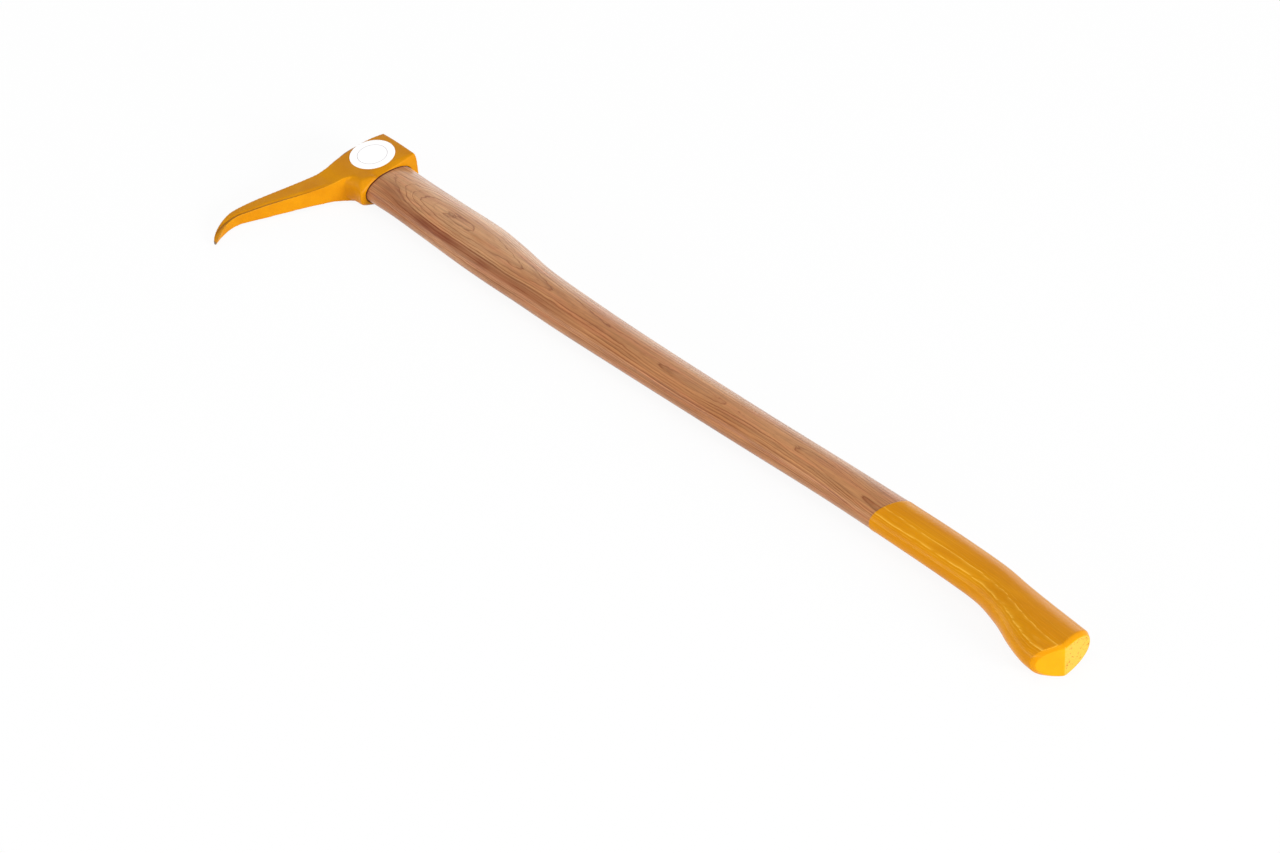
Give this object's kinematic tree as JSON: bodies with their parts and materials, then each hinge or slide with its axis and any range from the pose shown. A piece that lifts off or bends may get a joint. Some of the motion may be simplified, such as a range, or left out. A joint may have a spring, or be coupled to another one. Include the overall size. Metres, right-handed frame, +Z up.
{
  "type": "log pick",
  "caption": "forestry hand pick: long curved tapering beak on an oval-eyed steel head, swept wooden handle with a drooped knob end and a dip-coated grip",
  "frame": {"origin": "on the flat lower cheek that the tool lies on, under the middle of the label on the upper cheek", "axes": "+X down the handle to the butt, +Y to the poll side (the beak points to -Y), +Z up, square to the lower cheek"},
  "size_m": [0.9128, 0.1967, 0.0399],
  "materials": {
    "head_paint": "semi-gloss orange-yellow enamel on forged steel",
    "handle_wood": "clear varnished hickory",
    "grip_lacquer": "glossy yellow dip lacquer",
    "wedge_wood": "bare hardwood",
    "wedge_steel": "plain steel strip",
    "label_paper": "satin self-adhesive paper"
  },
  "bodies": {
    "root": {"pick_head": "head_paint", "handle": "handle_wood", "grip_coat": "grip_lacquer", "wood_wedge": "wedge_wood", "steel_wedge_poll": "wedge_steel", "steel_wedge_beak": "wedge_steel", "head_label": "label_paper"}
  },
  "joints": []
}
